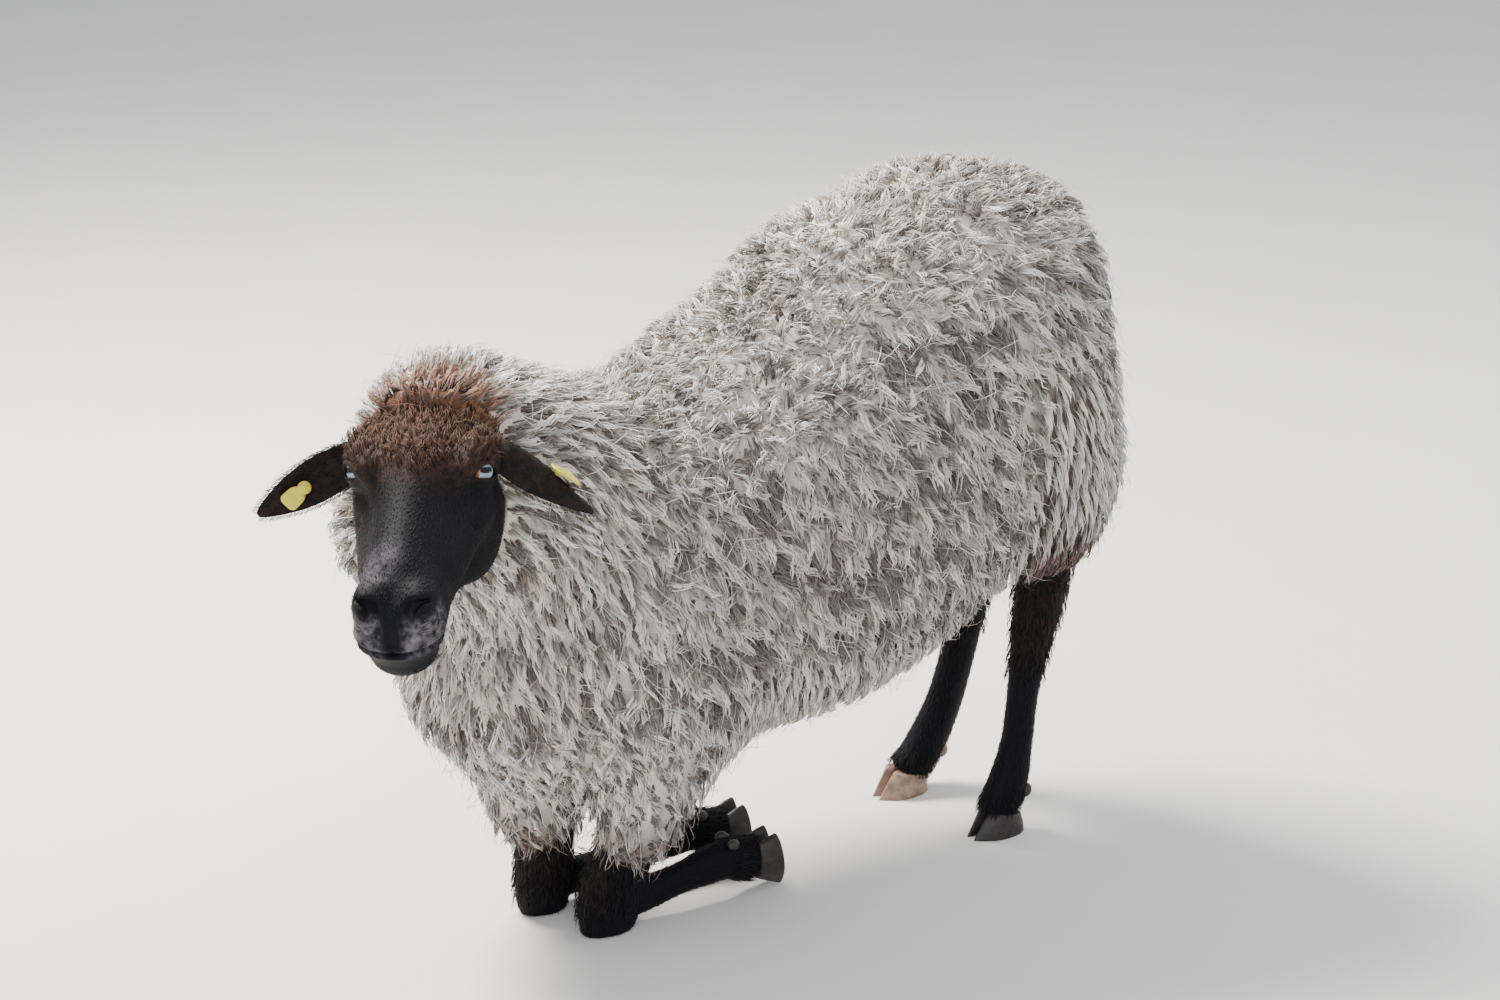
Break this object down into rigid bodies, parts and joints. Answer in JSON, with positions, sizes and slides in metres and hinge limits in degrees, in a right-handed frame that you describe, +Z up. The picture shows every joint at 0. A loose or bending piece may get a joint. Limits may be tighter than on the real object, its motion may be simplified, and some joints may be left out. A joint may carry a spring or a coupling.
{
  "type": "sheep",
  "caption": "Life-size kneeling sheep with a cream fleece, dark face and legs, head raised and turned to its left, and a blank yellow tag in each ear.",
  "frame": {"origin": "floor point under the middle of the overall box", "axes": "the sheep faces -Y, +X is its left side, +Z is up"},
  "size_m": [0.6194, 1.1445, 0.8617],
  "materials": {
    "fleece": "matte wool",
    "dark_hair": "short flat hair",
    "horn": "dull horn",
    "eye": "wet and glossy",
    "tag": "satin"
  },
  "bodies": {
    "root": {"cannon_fore_left": "dark_hair", "cannon_fore_right": "dark_hair", "cannon_hind_left": "dark_hair", "cannon_hind_right": "dark_hair", "claw_fore_left_a": "horn", "claw_fore_left_b": "horn", "claw_fore_right_a": "horn", "claw_fore_right_b": "horn", "claw_hind_left_a": "horn", "claw_hind_left_b": "horn", "claw_hind_right_a": "horn", "claw_hind_right_b": "horn", "dewclaw_fore_left_a": "horn", "dewclaw_fore_left_b": "horn", "dewclaw_fore_right_a": "horn", "dewclaw_fore_right_b": "horn", "dewclaw_hind_left_a": "horn", "dewclaw_hind_left_b": "horn", "dewclaw_hind_right_a": "horn", "dewclaw_hind_right_b": "horn", "ear_left": "dark_hair", "ear_right": "dark_hair", "ear_tag_back_left": "tag", "ear_tag_back_right": "tag", "ear_tag_front_left": "tag", "ear_tag_front_right": "tag", "eye_left": "eye", "eye_right": "eye", "foot_fore_left": "dark_hair", "foot_fore_right": "dark_hair", "foot_hind_left": "dark_hair", "foot_hind_right": "dark_hair", "forearm_left": "fleece", "forearm_right": "fleece", "head": "dark_hair", "hock_hind_left": "dark_hair", "hock_hind_right": "dark_hair", "knee_fore_left": "dark_hair", "knee_fore_right": "dark_hair", "lower_jaw": "dark_hair", "neck": "fleece", "tail": "fleece", "thigh_left": "fleece", "thigh_right": "fleece", "trunk": "fleece"}
  },
  "joints": []
}
